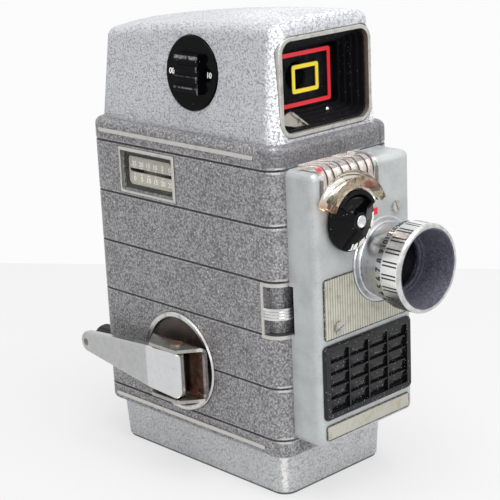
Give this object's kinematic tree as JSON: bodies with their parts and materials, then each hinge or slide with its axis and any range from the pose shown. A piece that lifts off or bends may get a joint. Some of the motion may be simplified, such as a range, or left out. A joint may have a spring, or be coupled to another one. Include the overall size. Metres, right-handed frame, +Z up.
{
  "type": "clockwork movie camera",
  "caption": "Spring-wound double-eight cine camera with a large finder, a ribbed-hood lens, a light-cell front, a folding winding key and a hinged film door.",
  "frame": {"origin": "mouth of the tripod socket, in the middle of the flat base", "axes": "+Z up, -Y towards the subject (lens), +X towards the film door, -X towards the winding key"},
  "size_m": [0.0656, 0.1292, 0.1525],
  "materials": {
    "hammered_grey": "hammered grey enamel",
    "silver_enamel": "silver wrinkle enamel",
    "satin_grey": "smooth satin silver-grey paint",
    "bright_trim": "bright, a little tarnished",
    "satin_aluminium": "satin",
    "chrome": "polished",
    "steel": "plain",
    "dark_steel": "blackened",
    "copper_rivet": "copper-coloured",
    "brass": "plain",
    "black_paint": "matt black",
    "red_paint": "gloss red",
    "yellow_paint": "gloss yellow",
    "black_plastic": "moulded black",
    "gloss_black": "gloss black",
    "beige_plate": "beige print on sheet",
    "drum_ground": "beige-grey",
    "clear_glass": "clear",
    "coated_glass": "coated",
    "clear_plastic": "clear moulding, a little amber"
  },
  "bodies": {
    "camera": {"body_shell": "hammered_grey", "hinge_leaf": "dark_steel", "side_trim": "bright_trim", "base_casting": "silver_enamel", "base_plate": "dark_steel", "base_screws": "steel", "tripod_bush": "steel", "top_housing": "silver_enamel", "finder_bezel": "bright_trim", "finder_baffle": "black_paint", "finder_glass": "clear_glass", "finder_wide_frame": "red_paint", "finder_narrow_frame": "yellow_paint", "finder_clip": "chrome", "eyepiece": "black_plastic", "eyepiece_lens": "clear_glass", "front_panel": "satin_grey", "cell_window": "black_plastic", "upper_plate": "beige_plate", "lower_plate": "beige_plate", "front_screws": "steel", "lens_flange": "satin_aluminium", "lens_barrel": "satin_aluminium", "lens_ring": "satin_aluminium", "lens_hood_cone": "black_paint", "lens_front_glass": "coated_glass", "exposure_scale_window": "clear_plastic", "clear_sector": "clear_plastic", "meter_movement": "black_plastic", "footage_frame": "bright_trim", "footage_glass": "clear_plastic", "starter_frame": "bright_trim", "key_ring": "bright_trim", "clockwork_plate": "satin_aluminium", "gear_bridge": "brass", "film_gate": "steel"},
    "film_door": {"film_door": "hammered_grey", "door_trim": "bright_trim"},
    "winding_key": {"key_disc": "dark_steel", "key_bracket": "steel", "key_pin": "copper_rivet"},
    "key_handle": {"key_handle": "chrome"},
    "starter": {"starter_button": "chrome"},
    "exposure_dial": {"exposure_dial": "gloss_black", "exposure_dial_hub": "chrome"},
    "meter_needle": {"meter_needle": "black_paint"},
    "film_speed_dial": {"film_speed_dial": "gloss_black"},
    "footage_drum": {"footage_drum": "drum_ground"},
    "latch": {"latch_knob": "black_plastic", "latch_arm": "steel"},
    "mainspring": {"mainspring_barrel": "brass"},
    "train_wheel": {"train_wheel": "brass"},
    "crown_wheel": {"crown_wheel": "brass"},
    "governor": {"governor": "brass"},
    "shutter": {"shutter": "black_paint"},
    "takeup": {"takeup_spindle": "steel", "takeup_spool": "satin_aluminium"},
    "supply_spindle": {"supply_spindle": "steel"},
    "claw": {"claw": "steel"},
    "pressure_plate": {"pressure_plate": "steel"}
  },
  "joints": [
    {"name": "door_swing", "type": "hinge", "parent": "camera", "child": "film_door", "pos_m": [0.0245, -0.04635, 0.06515], "axis": [0, 0, -1], "range_deg": [0, 100]},
    {"name": "latch_turn", "type": "hinge", "parent": "camera", "child": "latch", "pos_m": [-0.02, 0.04, 0.0324], "axis": [0, -1, 0], "range_deg": [0, 5]},
    {"name": "key_wind", "type": "hinge", "parent": "camera", "child": "winding_key", "pos_m": [-0.027, 0.0034, 0.0374], "axis": [-1, 0, 0], "continuous": true},
    {"name": "key_unfold", "type": "hinge", "parent": "winding_key", "child": "key_handle", "pos_m": [-0.0339, -0.0033, 0.0374], "axis": [0, 0, 1], "range_deg": [0, 70]},
    {"name": "starter_press", "type": "slide", "parent": "camera", "child": "starter", "axis": [0, 0, 1], "range_m": [-0.0045, 0.0045], "stiffness_N_per_m": 120},
    {"name": "exposure_turn", "type": "hinge", "parent": "camera", "child": "exposure_dial", "pos_m": [-0.0074, -0.056, 0.0921], "axis": [0, -1, 0], "range_deg": [-60, 60]},
    {"name": "needle_swing", "type": "hinge", "parent": "camera", "child": "meter_needle", "pos_m": [-0.0074, -0.052, 0.0881], "axis": [0, -1, 0], "range_deg": [-35, 35], "stiffness_Nm_per_rad": 0.0008},
    {"name": "film_speed_turn", "type": "hinge", "parent": "camera", "child": "film_speed_dial", "pos_m": [-0.02211, -0.0048, 0.1341], "axis": [-0.9968, 0, 0.0802], "range_deg": [-90, 90]},
    {"name": "counter_turn", "type": "hinge", "parent": "camera", "child": "footage_drum", "pos_m": [-0.01345, 0.0147, 0.0996], "axis": [0, 0, 1], "range_deg": [0, 300]},
    {"name": "crown_wheel_turn", "type": "hinge", "parent": "camera", "child": "crown_wheel", "pos_m": [-0.001, 0.00168, 0.0759], "axis": [1, 0, 0], "continuous": true},
    {"name": "shutter_turn", "type": "hinge", "parent": "camera", "child": "shutter", "pos_m": [-0.006, -0.02, 0.0759], "axis": [0, 1, 0], "continuous": true},
    {"name": "train_wheel_turn", "type": "hinge", "parent": "camera", "child": "train_wheel", "pos_m": [-0.001, -0.00057, 0.06107], "axis": [1, 0, 0], "continuous": true},
    {"name": "governor_turn", "type": "hinge", "parent": "camera", "child": "governor", "pos_m": [-0.001, -0.01466, 0.0662], "axis": [1, 0, 0], "continuous": true},
    {"name": "mainspring_turn", "type": "hinge", "parent": "camera", "child": "mainspring", "pos_m": [-0.014, 0.0034, 0.0374], "axis": [1, 0, 0], "continuous": true},
    {"name": "takeup_turn", "type": "hinge", "parent": "camera", "child": "takeup", "pos_m": [0.01, -0.0116, 0.0432], "axis": [1, 0, 0], "continuous": true},
    {"name": "supply_turn", "type": "hinge", "parent": "camera", "child": "supply_spindle", "pos_m": [0.01, 0.0158, 0.0871], "axis": [1, 0, 0], "continuous": true},
    {"name": "claw_stroke", "type": "slide", "parent": "camera", "child": "claw", "axis": [0, 0, 1], "range_m": [-0.0019, 0.0019]},
    {"name": "pressure_release", "type": "slide", "parent": "camera", "child": "pressure_plate", "axis": [0, 1, 0], "range_m": [0, 0.0012], "stiffness_N_per_m": 150}
  ],
  "couplings": [
    {"joint": "shutter_turn", "follows": "crown_wheel_turn", "ratio": 3.75},
    {"joint": "train_wheel_turn", "follows": "crown_wheel_turn", "ratio": -0.25},
    {"joint": "governor_turn", "follows": "crown_wheel_turn", "ratio": 1},
    {"joint": "mainspring_turn", "follows": "crown_wheel_turn", "ratio": 0.0625},
    {"joint": "takeup_turn", "follows": "crown_wheel_turn", "ratio": 0.33333}
  ]
}
